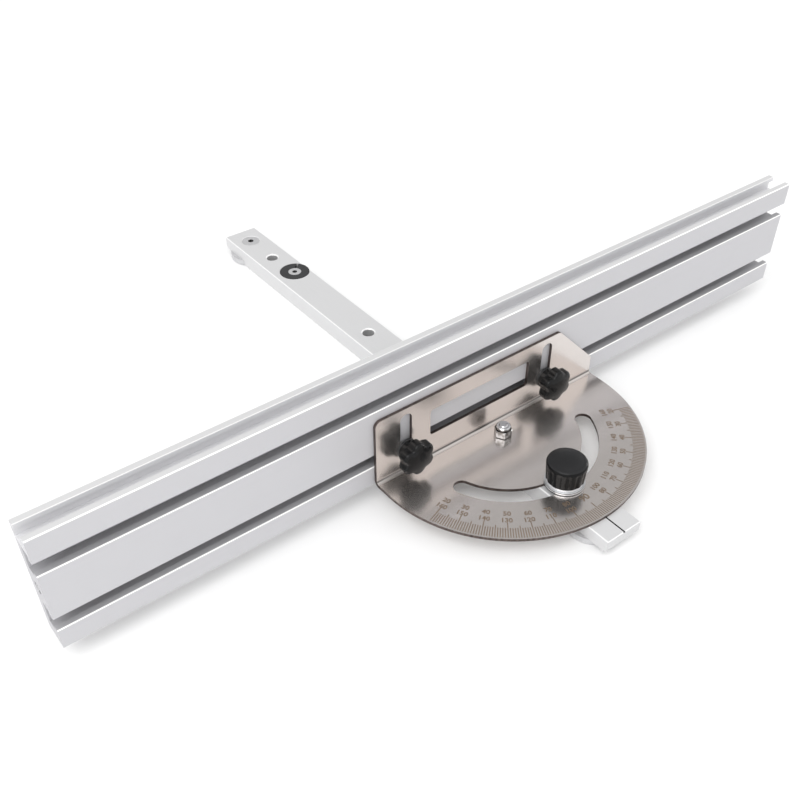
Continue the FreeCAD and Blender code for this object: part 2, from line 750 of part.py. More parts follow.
def clamp_knob(side):
    """A lobed knob on a round neck, closed and widely bevelled at the front."""
    body = new_body(side + "_clamp_knob", FACING_USER, BOLTS[side], CLAMP_SEAT, BOLT_HEIGHT)
    profile = new_sketch(body, "profile", "XZ_Plane")
    neck, rim = size.clamp_neck_diameter / 2, size.clamp_knob_diameter / 2
    base = size.clamp_neck_length
    front = base + size.clamp_knob_thickness
    outline(profile, [(ZERO, ZERO), (neck, ZERO), (neck, base), (rim, base), (rim, front - size.clamp_knob_crown),
                      (rim - size.clamp_knob_edge, front), (ZERO, front)])
    turned_pad(body, profile)
    flute = new_sketch(body, "flute", out=base)
    circle(flute, rim + size.clamp_flute_radius - size.clamp_flute_depth, ZERO, size.clamp_flute_radius * 2)
    repeat_round(body, pocket(body, flute, front - base + PAST, reverse=True), size.clamp_flutes)
    bore = new_sketch(body, "bore")
    circle(bore, ZERO, ZERO, size.clamp_insert_diameter)
    pocket(body, bore, size.clamp_insert_length, reverse=True)
    return body


def lock_washer():
    return ring("lock_washer", size.lock_washer_diameter, size.lock_thread + size.washer_gap * 2,
                size.lock_washer_thickness, y=-ARC_RADIUS, z=LOCK_WASHER_SEAT)


def lock_knob_insert():
    """The flanged and threaded bush under the lock knob."""
    body = new_body("lock_knob_insert", y=-ARC_RADIUS, z=KNOB_SEAT)
    profile = new_sketch(body, "profile", "XZ_Plane")
    bore = size.lock_thread / 2 + size.insert_gap
    flange, barrel = size.insert_flange_diameter / 2, size.insert_barrel_diameter / 2
    thick = size.insert_flange_thickness
    top = thick + size.insert_barrel_length
    outline(profile, [(bore, ZERO), (flange, ZERO), (flange, thick), (barrel, thick), (barrel, top), (bore, top)])
    turned_pad(body, profile)
    return body


def lock_knob():
    """A crowned cap that overhangs a fluted side."""
    body = new_body("lock_knob", y=-ARC_RADIUS, z=KNOB_SEAT + size.insert_flange_thickness)
    side = size.lock_knob_side
    grip = new_sketch(body, "grip")
    outer = size.lock_knob_grip / 2
    outline(grip, fluted_ring(outer, outer - size.lock_flute_depth, SIZES["lock_flutes"]))
    pad(body, grip, side)
    cap = new_sketch(body, "cap", "XZ_Plane")
    rim = size.lock_knob_rim / 2
    shoulder = side + size.lock_knob_rim_height
    edge = size.lock_knob_edge
    top = shoulder + size.lock_knob_crown
    outline(cap, [(ZERO, side), (rim, side), (rim, shoulder - edge), (rim - edge, shoulder),
                  (size.lock_knob_flat / 2, top), (ZERO, top)])
    turned_pad(body, cap)
    bore = new_sketch(body, "bore")
    circle(bore, ZERO, ZERO, size.insert_barrel_diameter)
    pocket(body, bore, size.insert_barrel_length, reverse=True)
    return body


def build():
    pieces = [miter_bar()]
    for end in ("front", "rear"):
        pieces += [track_disc(end), disc_screw(end), split_disc(end), cone_screw(end)]
    pieces += [pivot_screw(), pivot_nut(), protractor_plate()]
    pieces += [lock_screw(), lock_washer(), lock_knob_insert(), lock_knob()]
    pieces.append(fence_extrusion())
    for side in BOLTS:
        pieces += [clamp_bolt(side), clamp_washer(side), clamp_insert(side), clamp_knob(side)]
    return pieces


def check(pieces):
    """Stop if anything in the document failed, or a piece isn't one sound solid."""
    doc.recompute()
    for item in doc.Objects:
        if "Invalid" in item.State or "Error" in item.State:
            raise RuntimeError("%s is %s" % (item.Name, item.State))
    for piece in pieces:
        shape = piece.Shape
        if shape.isNull() or not shape.isValid() or len(shape.Solids) != 1:
            raise RuntimeError(piece.Label + " isn't one valid solid")


def write(pieces):
    os.makedirs("parts", exist_ok=True)
    for piece in pieces:
        piece.Shape.exportStep("parts/%s.step" % piece.Label)
        print("%-22s %10.1f mm3" % (piece.Label, piece.Shape.Volume))


pieces = build()
check(pieces)
write(pieces)
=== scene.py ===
"""Finishes and fine detail of a saw table's miter gauge.

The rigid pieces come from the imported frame, in metres. This script gives each of them its finish,
adds the engraved scale, and makes the knobs and the threaded swing screw, whose shape is finer
than the frame's. It is laid out as an add-on with one operator for each group of pieces.
"""

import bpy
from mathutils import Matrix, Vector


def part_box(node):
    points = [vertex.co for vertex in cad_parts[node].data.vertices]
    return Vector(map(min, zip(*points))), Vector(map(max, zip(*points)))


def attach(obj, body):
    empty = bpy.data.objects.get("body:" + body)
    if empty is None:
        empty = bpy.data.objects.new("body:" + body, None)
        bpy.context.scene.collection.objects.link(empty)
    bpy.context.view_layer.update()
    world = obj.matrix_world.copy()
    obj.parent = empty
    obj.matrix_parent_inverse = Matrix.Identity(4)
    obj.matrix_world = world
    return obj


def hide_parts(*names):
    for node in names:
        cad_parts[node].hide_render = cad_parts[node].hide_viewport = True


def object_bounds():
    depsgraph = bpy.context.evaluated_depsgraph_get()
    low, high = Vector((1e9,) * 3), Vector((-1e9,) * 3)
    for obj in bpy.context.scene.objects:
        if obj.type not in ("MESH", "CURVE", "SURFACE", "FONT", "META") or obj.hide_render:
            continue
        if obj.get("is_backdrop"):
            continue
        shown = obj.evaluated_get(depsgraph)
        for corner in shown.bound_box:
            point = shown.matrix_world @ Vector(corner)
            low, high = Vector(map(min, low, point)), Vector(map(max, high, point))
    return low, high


bl_info = {
    "name": "Miter gauge",
    "version": (1, 0, 0),
    "blender": (4, 5, 0),
    "location": "3D View > Sidebar > Miter gauge",
    "description": "Finishes, scale, knobs and stage for a saw table's miter gauge",
    "category": "Object",
}

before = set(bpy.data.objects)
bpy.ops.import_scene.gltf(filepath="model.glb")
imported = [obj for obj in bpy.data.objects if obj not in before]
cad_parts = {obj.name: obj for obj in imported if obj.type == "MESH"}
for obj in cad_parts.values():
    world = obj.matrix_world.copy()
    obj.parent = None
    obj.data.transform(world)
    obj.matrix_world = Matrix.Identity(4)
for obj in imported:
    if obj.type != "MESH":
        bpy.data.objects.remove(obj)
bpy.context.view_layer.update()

import math

import bpy
import numpy as np
from bpy.props import FloatProperty, FloatVectorProperty, IntProperty, PointerProperty
from mathutils import Matrix, Vector

MM = 0.001
BLACK = (0, 0, 0)
NEAR_AXIS = 1e-6  # where a turned profile starts and ends, short of the axis
KNOB_STEP = 0.35 * MM  # length of a step along the knobs' profiles


# Sizes and colours that a user would change

class GaugeSizes(bpy.types.PropertyGroup):
    """Sizes of the pieces that this script makes."""
    sheet: FloatProperty(
        name="Sheet thickness", description="Thickness of the folded plate", default=1.5 * MM,
        unit="LENGTH")
    tick_width: FloatProperty(
        name="Tick width", description="Width of an engraved tick", default=0.42 * MM,
        unit="LENGTH")
    tick_outer: FloatProperty(
        name="Tick outer radius", description="Where all ticks end, from the swing axis",
        default=62.3 * MM, unit="LENGTH")
    tick_fine: FloatProperty(
        name="Fine tick radius", description="Where the ticks of one degree begin",
        default=57.0 * MM, unit="LENGTH")
    tick_medium: FloatProperty(
        name="Medium tick radius", description="Where the ticks of five degrees begin",
        default=55.8 * MM, unit="LENGTH")
    tick_long: FloatProperty(
        name="Long tick radius", description="Where the ticks of ten degrees begin",
        default=54.0 * MM, unit="LENGTH")
    inner_row: FloatProperty(
        name="Inner row radius", description="Middle of the inner row of numbers",
        default=49.0 * MM, unit="LENGTH")
    outer_row: FloatProperty(
        name="Outer row radius", description="Middle of the outer row of numbers",
        default=52.7 * MM, unit="LENGTH")
    number_height: FloatProperty(
        name="Number height", description="Height of the engraved numbers", default=2.5 * MM,
        unit="LENGTH")
    square_height: FloatProperty(
        name="Middle number height", description="Height of the number in the middle",
        default=3.5 * MM, unit="LENGTH")
    scale_reach: IntProperty(
        name="Scale reach", description="Degrees of scale on each side of the middle", default=70,
        min=10, max=85)
    number_weight: FloatProperty(
        name="Number weight", description="How much the numbers' strokes are thickened",
        default=0.03)
    mark_rise: FloatProperty(
        name="Mark rise", description="How far the marks stand above the plate", default=0.02 * MM,
        unit="LENGTH")
    thread_pitch: FloatProperty(
        name="Thread pitch", description="Rise of the swing screw's thread in one turn",
        default=0.7 * MM, unit="LENGTH")
    thread_depth: FloatProperty(
        name="Thread depth", description="Depth of the swing screw's thread", default=0.28 * MM,
        unit="LENGTH")
    flute_depth: FloatProperty(
        name="Flute depth", description="Depth of the flutes in the lock knob's side",
        default=0.3 * MM, unit="LENGTH")
    spare_near: FloatProperty(
        name="Near spare hole", description="Place of the near spare hole along the bar",
        default=101.0 * MM, unit="LENGTH")
    spare_far: FloatProperty(
        name="Far spare hole", description="Place of the far spare hole along the bar",
        default=192.0 * MM, unit="LENGTH")
    # Radius of the painted shade in each spare hole.
    hole_shade_reach: FloatProperty(
        name="Hole shade radius", description="Radius within which a hole's wall is dull",
        default=3.1 * MM, unit="LENGTH")
    lobe_depth: FloatProperty(
        name="Lobe depth", description="Depth of the hollows between a clamp knob's lobes",
        default=1.5 * MM, unit="LENGTH")


class GaugeColours(bpy.types.PropertyGroup):
    """Colours of the finishes, as scene-linear values."""
    plate: FloatVectorProperty(
        name="Plate", description="Satin stainless steel of the folded plate", subtype="COLOR",
        size=3, default=(0.745, 0.697, 0.668), min=0, max=1)
    plate_edge: FloatVectorProperty(
        name="Cut edge", description="Burnt edge of the laser-cut plate", subtype="COLOR", size=3,
        default=(0.05, 0.040, 0.037), min=0, max=1)
    marks: FloatVectorProperty(
        name="Marks", description="Engraved ticks and numbers", subtype="COLOR", size=3,
        default=(0.225, 0.172, 0.13), min=0, max=1)
    fence: FloatVectorProperty(
        name="Fence", description="Anodised aluminium of the fence", subtype="COLOR", size=3,
        default=(0.53, 0.527, 0.545), min=0, max=1)
    bar: FloatVectorProperty(
        name="Bar", description="Anodised aluminium of the bar", subtype="COLOR", size=3,
        default=(0.64, 0.64, 0.645), min=0, max=1)
    steel: FloatVectorProperty(
        name="Zinc", description="Plated steel of screws, nut and washers", subtype="COLOR", size=3,
        default=(0.62, 0.62, 0.63), min=0, max=1)
    nylon: FloatVectorProperty(
        name="Nylon", description="Black nylon of the split discs", subtype="COLOR", size=3,
        default=(0.022, 0.022, 0.023), min=0, max=1)
    knob: FloatVectorProperty(
        name="Knob", description="Black moulded plastic of the knobs", subtype="COLOR", size=3,
        default=(0.004, 0.004, 0.0042), min=0, max=1)


class GaugeStage(bpy.types.PropertyGroup):
    """Camera and light of the stage."""
    heading: FloatProperty(
        name="Heading", description="Camera's heading, from +Y towards +X", default=0.672,
        subtype="ANGLE")
    tilt: FloatProperty(
        name="Tilt", description="How far the camera looks down", default=0.733, subtype="ANGLE")
    roll: FloatProperty(
        name="Roll", description="Camera's roll about its own axis", default=0.009, subtype="ANGLE")
    place: FloatVectorProperty(
        name="Place", description="Camera's place", size=3, subtype="TRANSLATION",
        default=(-232.978 * MM, -229.584 * MM, 294.659 * MM))
    focal: FloatProperty(
        name="Focal length", description="Focal length in pixels of an 800 pixel frame",
        default=972.331)
    centre: FloatVectorProperty(
        name="Centre", description="Where the camera's axis meets an 800 pixel frame", size=2,
        default=(413.768, 447.915))
    sky: FloatProperty(
        name="Sky", description="Strength of the even light from all sides", default=1.12)
    dark_patch: FloatProperty(
        name="Dark patch",
        description="Strength of the part of the sky that level metal mirrors to the camera",
        default=0.5)
    key: FloatProperty(
        name="Key", description="Strength of the large soft light", default=13.0)
    side: FloatProperty(
        name="Side", description="Strength of the low light from the right", default=2.0)


def sizes():
    """The sizes in the scene."""
    return bpy.context.scene.gauge_sizes


def colours():
    """The colours in the scene."""
    return bpy.context.scene.gauge_colours


# Material building

class Signal:
    """A value on its way through a node tree. A sum, product or test on it adds one Math node."""

    def __init__(self, nodes, socket):
        self.nodes = nodes
        self.socket = socket

    def math(self, operation, *terms, clamp=False):
        return self.nodes.node("ShaderNodeMath", {"operation": operation, "use_clamp": clamp},
                               dict(enumerate(terms)))

    def __add__(self, other):
        return self.math("ADD", self, other)

    def __sub__(self, other):
        return self.math("SUBTRACT", self, other)

    def __rsub__(self, other):
        return self.math("SUBTRACT", other, self)

    def __mul__(self, other):
        return self.math("MULTIPLY", self, other)

    def __abs__(self):
        return self.math("ABSOLUTE", self)

    def __lt__(self, other):
        return self.math("LESS_THAN", self, other)

    def __gt__(self, other):
        return self.math("GREATER_THAN", self, other)

    __radd__ = __add__
    __rmul__ = __mul__

    def clamped(self):
        """The value, held between 0 and 1."""
        return self.math("ADD", self, 0.0, clamp=True)


class Nodes:
    """A node tree that is built node by node."""

    def __init__(self, tree):
        self.tree = tree

    def node(self, kind, settings=None, values=None, output=0):
        """Add a node: its settings first, then the values or links of its sockets."""
        made = self.tree.nodes.new(kind)
        for key, value in (settings or {}).items():
            setattr(made, key, value)
        for key, value in (values or {}).items():
            self.join(made.inputs[key], value)
        return Signal(self, made.outputs[output])

    def join(self, socket, value):
        """Link a signal to a socket, or set the socket to a value."""
        if isinstance(value, Signal):
            self.tree.links.new(value.socket, socket)
        elif socket.type == "RGBA":
            socket.default_value = tuple(value)[:3] + (1.0,)
        else:
            socket.default_value = value


class Finish(Nodes):
    """One material, built on its Principled shader."""

    def __init__(self, name, **constants):
        self.material = bpy.data.materials.new(name)
        self.material.use_nodes = True
        super().__init__(self.material.node_tree)
        self.shader = self.tree.nodes["Principled BSDF"]
        for key, value in constants.items():
            self.set(key.replace("_", " ").title().replace("Ior", "IOR"), value)
        self.place = self.node("ShaderNodeTexCoord", output="Object")

    def set(self, socket, value):
        self.join(self.shader.inputs[socket], value)

    def axes(self, place=None):
        """The three parts of a vector, or of the object coordinates."""
        split = self.tree.nodes.new("ShaderNodeSeparateXYZ")
        self.join(split.inputs[0], place or self.place)
        return [Signal(self, output) for output in split.outputs]

    def level(self):
        """1 on level faces, 0 on upright ones."""
        return abs(self.axes(self.node("ShaderNodeTexCoord", output="Normal"))[2])

    def stretched(self, x, y, z):
        """Object coordinates, in metres, times a number for each axis."""
        return self.node("ShaderNodeVectorMath", {"operation": "MULTIPLY"},
                         {0: self.place, 1: (x, y, z)})

    def noise(self, place, scale, detail=2.0, roughness=0.5):
        return self.node("ShaderNodeTexNoise", None,
                         {"Vector": place, "Scale": scale, "Detail": detail, "Roughness": roughness})

    def blend(self, amount, first, second):
        """One colour into another. A Mix node's colours are its inputs 6 and 7 and its output 2."""
        return self.node("ShaderNodeMix", {"data_type": "RGBA"}, {0: amount, 6: first, 7: second},
                         output=2)

    def relief(self, height, depth):
        """Small relief from a height signal. The depth is in metres."""
        self.set("Normal", self.node("ShaderNodeBump", None, {"Distance": depth, "Height": height}))

    def over(self, amount, colour):
        """Lay a colour over what feeds the base colour."""
        socket = self.shader.inputs["Base Color"]
        self.set("Base Color", self.blend(amount, Signal(self, socket.links[0].from_socket), colour))

    def put_on(self, *objects):
        for target in objects:
            target.data.materials.clear()
            target.data.materials.append(self.material)


def node_objects(*names):
    """Objects of the frame's nodes."""
    return [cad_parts[name] for name in names]


def band(signal, middle, half):
    """1 where the signal lies within half of the middle."""
    return abs(signal - middle) < half


def scaled(colour, factor):
    """A colour times a factor."""
    return tuple(factor * channel for channel in colour)


def extruded(name, colour, roughness, cut_axis, middle, half):
    """Satin anodised aluminium: fine draw lines along the length, a soft mottle, painted highlights on
    the rounded edges, and sawn ends, which begin at half the length from the middle of the cut axis.
    The draw lines are noise that is stretched by 150 along the length."""
    bright_edge = (0.95, 0.95, 0.94)
    line_depth = 0.01 * MM
    finish = Finish(name, metallic=0.3)
    along = [900.0, 900.0, 900.0]
    along[cut_axis] = 6.0
    draw = finish.noise(finish.stretched(*along), 3.0, 4.0, 0.6)
    mottle = finish.noise(finish.place, 90.0, 3.0)
    sawn = finish.noise(finish.stretched(250.0, 250.0, 2600.0), 1.0, 3.0, 0.6)
    end = abs(finish.axes()[cut_axis] - middle) > half
    tint = 0.93 + 0.14 * (draw * 0.6 + mottle * 0.4)
    shade = finish.blend(tint.clamped(), BLACK, colour)
    bare = finish.blend(0.8 + sawn * 0.3, BLACK, colour)
    finish.set("Base Color", finish.blend(end, shade, bare))
    # Painted highlight: faces that are neither level nor upright (rounded edges, chamfers,
    # countersinks) are painted lighter.
    finish.over(band(finish.level(), 0.6, 0.35) * 0.55, bright_edge)
    finish.set("Roughness", roughness + (draw - 0.5) * 0.12 + end * 0.12)
    finish.relief(draw * (1 - end) + sawn * end * 2.0, line_depth)
    return finish


def plated(name, colour, roughness, upright_shade=1.0, metallic=1.0):
    """Plated steel: a mottled sheen with fine scuffs. Upright faces get painted shade, darker by the
    given factor.
    """
    finish = Finish(name, metallic=metallic)
    mottle = finish.noise(finish.place, 700.0, 3.0)
    scuff = finish.noise(finish.stretched(1.0, 1.0, 6.0), 2500.0, 2.0)
    # Painted shade: the colour of upright faces is scaled down by the factor.
    shade = (0.82 + mottle * 0.3) * (upright_shade + (1 - upright_shade) * finish.level())
    finish.set("Base Color", finish.blend(shade.clamped(), BLACK, colour))
    finish.set("Roughness", roughness + (scuff - 0.5) * 0.15)
    finish.relief(scuff, 0.004 * MM)
    return finish


def moulded(name, colour, roughness, grain, ior):
    """Black moulded plastic: a fine spark-eroded grain with slightly worn high spots."""
    finish = Finish(name, ior=ior)
    fine = finish.noise(finish.place, grain, 3.0, 0.6)
    wide = finish.noise(finish.place, 260.0, 2.0)
    worn = (wide * 0.5 + fine * 0.35).clamped()
    finish.set("Base Color", finish.blend(worn, colour, scaled(colour, 2.2)))
    finish.set("Roughness", roughness + (fine - 0.5) * 0.18 + (wide - 0.5) * 0.1)
    finish.relief(fine, 0.012 * MM)
    return finish


# Mesh building

def mesh_object(name, points, faces, finish, body, crease):
    """A piece from points and faces, with sharp edges above the crease angle in degrees. Its faces
    are turned outwards by the sign of its volume."""
    corners = points[np.array([face[:3] for face in faces])]
    volume = np.einsum("ij,ij->i", corners[:, 0], np.cross(corners[:, 1], corners[:, 2])).sum()
    if volume < 0:
        faces = [face[::-1] for face in faces]
    mesh = bpy.data.meshes.new(name)
    mesh.from_pydata(points.tolist(), [], faces)
    mesh.validate()
    mesh.shade_smooth()
    mesh.set_sharp_from_angle(angle=math.radians(crease))
    piece = bpy.data.objects.new(name, mesh)
    bpy.context.scene.collection.objects.link(piece)
    finish.put_on(piece)
    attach(piece, body)
    return piece


def ring_faces(rows, turns):
    """Quads between closed rings of points, and a fan to one point at each end."""
    row = np.arange(rows - 1)[:, None] * turns
    turn = np.arange(turns)[None, :]
    following = (turn + 1) % turns
    quads = np.stack([row + turn, row + following, row + turns + following, row + turns + turn],
                     axis=-1)
    first, last = rows * turns, rows * turns + 1
    ahead = (np.arange(turns) + 1) % turns
    base = (rows - 1) * turns
    start = np.stack([ahead, np.arange(turns), np.full(turns, first)], axis=-1)
    end = np.stack([base + np.arange(turns), base + ahead, np.full(turns, last)], axis=-1)
    return quads.reshape(-1, 4).tolist() + start.tolist() + end.tolist()


def turned(radius, height, angle):
    """Points of a turned shape in its own frame: radius(row, turn) about the axis at height(row)."""
    height = np.broadcast_to(height, radius.shape)
    points = np.stack([radius * np.cos(angle), radius * np.sin(angle), height], axis=-1)
    ends = np.array([[0, 0, height[0, 0]], [0, 0, height[-1, 0]]])
    return np.vstack([points.reshape(-1, 3), ends])


def refined(corners, step):
    """A profile's straight runs between corners, cut into steps. The corners are kept."""
    corners = np.array(corners, float)
    runs = [np.linspace(a, b, max(2, int(math.ceil(np.linalg.norm(b - a) / step)) + 1))[:-1]
            for a, b in zip(corners[:-1], corners[1:])]
    return np.vstack(runs + [corners[-1:]])


def arc(centre, radius, start, end, count):
    """Points of an arc in a profile, in degrees from the outward direction."""
    angle = np.radians(np.linspace(start, end, count))
    return [(centre[0] + radius * math.cos(a), centre[1] + radius * math.sin(a)) for a in angle]


# The pieces

class GAUGE_OT_bar(bpy.types.Operator):
    """Finish the bar with its inked index line, its discs and the screws in it"""
    bl_idname = "gauge.bar"
    bl_label = "Bar and discs"

    def execute(self, context):
        tint = colours()
        steel, nylon = tuple(tint.steel), tuple(tint.nylon)
        self.bar(tuple(tint.bar), nylon).put_on(*node_objects("miter_bar"))
        plated("zinc_steel", steel, roughness=0.4, metallic=0.6).put_on(*node_objects(
            "front_track_disc", "rear_track_disc", "lock_screw", "left_knob_insert",
            "right_knob_insert", "left_clamp_bolt", "right_clamp_bolt"))
        for name in ("front_disc_screw", "rear_disc_screw", "front_cone_screw", "rear_cone_screw"):
            self.socket_screw(name, steel).put_on(*node_objects(name))
        self.washer(steel).put_on(*node_objects("lock_washer", "lock_knob_insert"))
        self.nut(steel).put_on(*node_objects("pivot_nut"))
        moulded("black_nylon", nylon, roughness=0.42, grain=3500.0, ior=1.32).put_on(*node_objects(
            "front_split_disc", "rear_split_disc", "left_clamp_washer", "right_clamp_washer"))
        return {"FINISHED"}

    def bar(self, colour, ink):
        """Aluminium with an inked index line at the near end, and painted shade on the walls of the
        spare holes.
        """
        size = sizes()
        index_half, index_length = 0.5 * MM, 11 * MM
        index_middle, index_depth = 0.25 * MM, 0.22 * MM
        hole_shade = (0.05, 0.05, 0.052)
        low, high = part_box("miter_bar")
        finish = extruded("bar_aluminium", colour, roughness=0.45, cut_axis=1,
                          middle=(low[1] + high[1]) / 2, half=(high[1] - low[1]) / 2 - 0.1 * MM)
        x, y, z = finish.axes()
        index = (band(x, 0.0, index_half) * band(z, high[2] - index_middle, index_depth)
                 * (y < low[1] + index_length))
        finish.over(index, ink)
        # Painted shade: within a radius of each spare hole's axis the colour is darkened.
        for along in size.spare_near, size.spare_far:
            off = y - along
            finish.over(((x * x + off * off) < size.hole_shade_reach ** 2) * 0.35, hole_shade)
        return finish

    def socket_screw(self, name, colour):
        """Zinc with painted shade inside the screw's socket."""
        reach, depth = 2.2 * MM, 0.12 * MM
        finish = plated(name + "_steel", colour, roughness=0.4, metallic=0.6)
        low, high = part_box(name)
        x, y, z = finish.axes()
        across, along = x - (low[0] + high[0]) / 2, y - (low[1] + high[1]) / 2
        socket = ((across * across + along * along) < reach ** 2) * (z < high[2] - depth)
        # Painted shade: the socket's walls and floor are painted near black.
        finish.over(socket * 0.85, (0.03, 0.03, 0.03))
        return finish

    def washer(self, colour):
        """Steel whose upright faces get painted shade, with a painted highlight as a bright line round
        the rim of the washer and of the bush's flange on it.
        """
        finish = plated("washer_steel", colour, roughness=0.3, upright_shade=0.12, metallic=0.6)
        z = finish.axes()[2]
        seat, flange = (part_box(name)[0][2] for name in ("lock_washer", "lock_knob_insert"))
        washer_highlight = band(z, seat + 0.7 * MM, 0.25 * MM)
        flange_highlight = band(z, flange + 0.6 * MM, 0.5 * MM)
        # Painted highlight: bands round the rims of the upright faces are painted lighter.
        finish.over((washer_highlight + flange_highlight).clamped() * (1 - finish.level()), scaled(colour, 1.25))
        return finish

    def nut(self, colour):
        """Bright steel with painted reflections as dark patches on the flats, painted shade on upright
        faces, and painted shade as dark lines at the foot and the collar.
        """
        finish = plated("nut_steel", colour, roughness=0.14, upright_shade=0.5)
        foot, top = (corner[2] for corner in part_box("pivot_nut"))
        z = finish.axes()[2]
        # Painted reflection: dark patches on the upright flats.
        painted_reflection_patches = (finish.noise(finish.place, 420.0, 1.0) * 6 - 2.6).clamped()
        finish.over(painted_reflection_patches * (1 - finish.level()) * 0.75, (0.06, 0.052, 0.045))
        # Painted shade: dark lines where the nut meets the plate and under its collar.
        foot_shade = band(z, foot + 0.1 * MM, 0.3 * MM)
        collar_shade = band(z, top - 1.5 * MM, 0.22 * MM)
        finish.over((foot_shade + collar_shade).clamped(), (0.03, 0.028, 0.026))
        return finish


class GAUGE_OT_plate(bpy.types.Operator):
    """Finish the folded plate: satin steel with burnt cut edges and painted shade along the fold and
    its crease
    """
    bl_idname = "gauge.plate"
    bl_label = "Protractor plate"

    def execute(self, context):
        """The cut edges are found by place: within the sheet's thickness on the disc and on the
        flange, and at the two ends."""
        tint = colours()
        thick = sizes().sheet
        fold = 2 * thick + 0.1 * MM
        half = thick / 2 - 0.03 * MM
        low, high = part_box("protractor_plate")
        finish = Finish("stainless_plate", metallic=0.95)
        x, y, z = finish.axes()
        bend = high[1] - fold
        folded = (y > bend) * (z < low[2] + fold)
        crease = folded * band(finish.level(), 0.4, 0.25)
        on_disc = band(z, low[2] + thick / 2, half) * (y < bend)
        on_flange = band(y, high[1] - thick / 2, half) * (z > low[2] + fold)
        at_ends = abs(x) > high[0] - 0.02 * MM
        edge = (on_disc + on_flange + at_ends).clamped()
        grain = finish.noise(finish.stretched(120.0, 1500.0, 1500.0), 1.0, 4.0, 0.65)
        cloud = finish.noise(finish.place, 45.0, 3.0)
        speck = finish.noise(finish.place, 1400.0, 2.0)
        soot = finish.noise(finish.stretched(900.0, 900.0, 120.0), 1.0, 2.0)
        # Painted shade: the fold is darkened by a fifth, its crease by a half more.
        tone = ((0.88 + cloud * 0.16 + (grain - 0.5) * 0.08 + (speck - 0.5) * 0.04)
                * (1 - folded * 0.2 - crease * 0.5)).clamped()
        skin = finish.blend(tone, BLACK, tuple(tint.plate))
        burnt = finish.blend((soot * 1.6 - 0.3).clamped(), tuple(tint.plate_edge),
                             scaled(tint.plate_edge, 4))
        finish.set("Base Color", finish.blend(edge, skin, burnt))
        finish.set("Roughness", 0.17 + cloud * 0.05 + grain * 0.04 + edge * 0.25 + folded * 0.2)
        finish.relief(grain, 0.0012 * MM)
        finish.put_on(*node_objects("protractor_plate"))
        return {"FINISHED"}


def tick_mesh(angles, starts, end, width, height):
    """Flat radial ticks. Each is a rectangle along the radius at its angle from the scale's middle."""
    outward = np.stack([np.sin(angles), -np.cos(angles)], axis=-1)
    across = np.stack([np.cos(angles), np.sin(angles)], axis=-1) * width / 2
    near, far = outward * starts[:, None], outward * end
    flat = np.stack([near - across, far - across, far + across, near + across], axis=1).reshape(-1, 2)
    points = np.hstack([flat, np.full((len(flat), 1), height)])
    faces = np.arange(len(flat)).reshape(-1, 4)
    return points, faces


def number_mesh(text, height):
    """A number as a flat mesh about its own middle, scaled to a height."""
    curve = bpy.data.curves.new("number", "FONT")
    curve.body = text
    curve.resolution_u = 3
    curve.offset = sizes().number_weight
    letters = bpy.data.objects.new("number", curve)
    bpy.context.scene.collection.objects.link(letters)
    bpy.context.view_layer.update()
    mesh = bpy.data.meshes.new_from_object(letters)
    points = np.empty(len(mesh.vertices) * 3)
    mesh.vertices.foreach_get("co", points)
    points = points.reshape(-1, 3)[:, :2]
    faces = [list(face.vertices) for face in mesh.polygons]
    bpy.data.objects.remove(letters)
    bpy.data.meshes.remove(mesh)
    bpy.data.curves.remove(curve)
    low, high = points.min(axis=0), points.max(axis=0)
    return (points - (low + high) / 2) * height / (high[1] - low[1]), faces


class GAUGE_OT_scale(bpy.types.Operator):
    """Engrave the scale: a tick for each degree and two rows of numbers"""
    bl_idname = "gauge.scale"
    bl_label = "Scale"

    def finish(self):
        """Oxidised steel, mottled between its colour and one half as bright again."""
        finish = Finish("engraved_marks", metallic=0.75)
        grain = finish.noise(finish.place, 2600.0, 2.0)
        cloud = finish.noise(finish.place, 120.0, 2.0)
        tint = tuple(colours().marks)
        mottle = (grain * 0.7 + cloud * 0.5 - 0.1).clamped()
        finish.set("Base Color", finish.blend(mottle, tint, scaled(tint, 1.5)))
        finish.set("Roughness", 0.42 + (grain - 0.5) * 0.2)
        return finish

    def execute(self, context):
        """A number is turned by its angle and moved out along the radius. Towards +X the inner row
        counts up and the outer row counts down. The middle has one larger number."""
        size = sizes()
        middle_row = size.inner_row + 1.2 * MM
        finish = self.finish()
        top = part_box("protractor_plate")[0][2] + size.sheet + size.mark_rise
        degrees = np.arange(-size.scale_reach, size.scale_reach + 1)
        starts = np.where(degrees % 10 == 0, size.tick_long,
                          np.where(degrees % 5 == 0, size.tick_medium, size.tick_fine))
        points, faces = tick_mesh(np.radians(degrees), starts, size.tick_outer, size.tick_width, top)
        self.flat_piece("scale_ticks", points, faces.tolist(), finish)
        labels = []
        for degree in range(-size.scale_reach, size.scale_reach + 1, 10):
            if degree == 0:
                labels.append(("90", degree, middle_row, size.square_height))
            else:
                labels.append((str(90 + degree), degree, size.inner_row, size.number_height))
                labels.append((str(90 - degree), degree, size.outer_row, size.number_height))
        all_points, all_faces, count = [], [], 0
        for text, degree, radius, height in labels:
            flat, faces = number_mesh(text, height)
            cosine, sine = math.cos(math.radians(degree)), math.sin(math.radians(degree))
            rotation = np.array([[cosine, sine], [-sine, cosine]])
            placed = flat @ rotation + np.array([sine, -cosine]) * radius
            all_points.append(np.hstack([placed, np.full((len(placed), 1), top)]))
            all_faces += [[corner + count for corner in face] for face in faces]
            count += len(placed)
        self.flat_piece("scale_numbers", np.vstack(all_points), all_faces, finish)
        return {"FINISHED"}

    def flat_piece(self, name, points, faces, finish):
        """A flat piece on the plate, facing up."""
        mesh = bpy.data.meshes.new(name)
        mesh.from_pydata(points.tolist(), [], faces)
        mesh.validate()
        if sum(face.normal.z for face in mesh.polygons) < 0:
            mesh.flip_normals()
        piece = bpy.data.objects.new(name, mesh)
        bpy.context.scene.collection.objects.link(piece)
        finish.put_on(piece)
        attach(piece, "plate")


